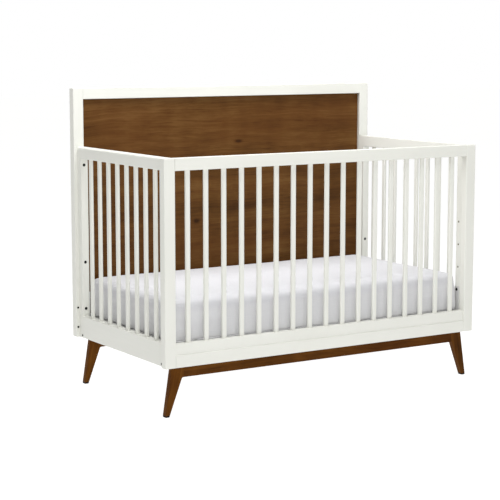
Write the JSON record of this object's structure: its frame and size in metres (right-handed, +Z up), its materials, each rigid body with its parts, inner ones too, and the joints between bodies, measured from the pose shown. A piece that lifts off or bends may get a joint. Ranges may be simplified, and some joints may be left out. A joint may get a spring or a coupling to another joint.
{
  "type": "baby crib",
  "caption": "Slatted crib with a tall walnut-panelled headboard, splayed walnut leg frames, height-adjustable mattress support and mattress.",
  "frame": {"origin": "middle of the object's box at floor level, under the feet", "axes": "+X along the length towards the crib's right end as seen from the front, +Y from the slatted front towards the headboard, +Z up"},
  "size_m": [1.4224, 0.762, 1.1684],
  "materials": {
    "white_paint": "satin warm white paint on solid wood",
    "walnut_panel": "walnut stain, satin, horizontal grain with a few knots",
    "walnut_legs": "walnut stain, satin, grain along each piece",
    "support_steel": "grey powder coat",
    "mattress_cover": "white cotton fitted sheet",
    "glide_plastic": "black plastic glide",
    "bolt_steel": "black oxide socket bolts"
  },
  "bodies": {
    "crib_frame": {"front_left_post": "white_paint", "front_right_post": "white_paint", "front_bottom_rail": "white_paint", "front_top_rail": "white_paint", "front_slat_01": "white_paint", "front_slat_02": "white_paint", "front_slat_03": "white_paint", "front_slat_04": "white_paint", "front_slat_05": "white_paint", "front_slat_06": "white_paint", "front_slat_07": "white_paint", "front_slat_08": "white_paint", "front_slat_09": "white_paint", "front_slat_10": "white_paint", "front_slat_11": "white_paint", "front_slat_12": "white_paint", "front_slat_13": "white_paint", "front_slat_14": "white_paint", "front_slat_15": "white_paint", "front_slat_16": "white_paint", "front_slat_17": "white_paint", "left_side_front_stile": "white_paint", "left_side_rear_stile": "white_paint", "left_side_bottom_rail": "white_paint", "left_side_top_rail": "white_paint", "left_side_slat_1": "white_paint", "left_side_slat_2": "white_paint", "left_side_slat_3": "white_paint", "left_side_slat_4": "white_paint", "left_side_slat_5": "white_paint", "left_side_slat_6": "white_paint", "left_side_slat_7": "white_paint", "left_side_slat_8": "white_paint", "right_side_front_stile": "white_paint", "right_side_rear_stile": "white_paint", "right_side_bottom_rail": "white_paint", "right_side_top_rail": "white_paint", "right_side_slat_1": "white_paint", "right_side_slat_2": "white_paint", "right_side_slat_3": "white_paint", "right_side_slat_4": "white_paint", "right_side_slat_5": "white_paint", "right_side_slat_6": "white_paint", "right_side_slat_7": "white_paint", "right_side_slat_8": "white_paint", "headboard_left_post": "white_paint", "headboard_right_post": "white_paint", "headboard_top_rail": "white_paint", "headboard_bottom_rail": "white_paint", "headboard_panel": "walnut_panel", "front_left_leg": "walnut_legs", "front_right_leg": "walnut_legs", "front_stretcher": "walnut_legs", "rear_left_leg": "walnut_legs", "rear_right_leg": "walnut_legs", "rear_stretcher": "walnut_legs"},
    "mattress_support": {"mattress_support_grid": "support_steel", "left_support_hanger": "support_steel", "right_support_hanger": "support_steel"},
    "mattress": {"mattress": "mattress_cover"}
  },
  "joints": [
    {"name": "support_height", "type": "slide", "parent": "crib_frame", "child": "mattress_support", "axis": [0, 0, 1], "range_m": [0, 0.276]},
    {"name": "mattress_lift", "type": "slide", "parent": "mattress_support", "child": "mattress", "axis": [0, 0, 1], "range_m": [0, 0.92]}
  ]
}
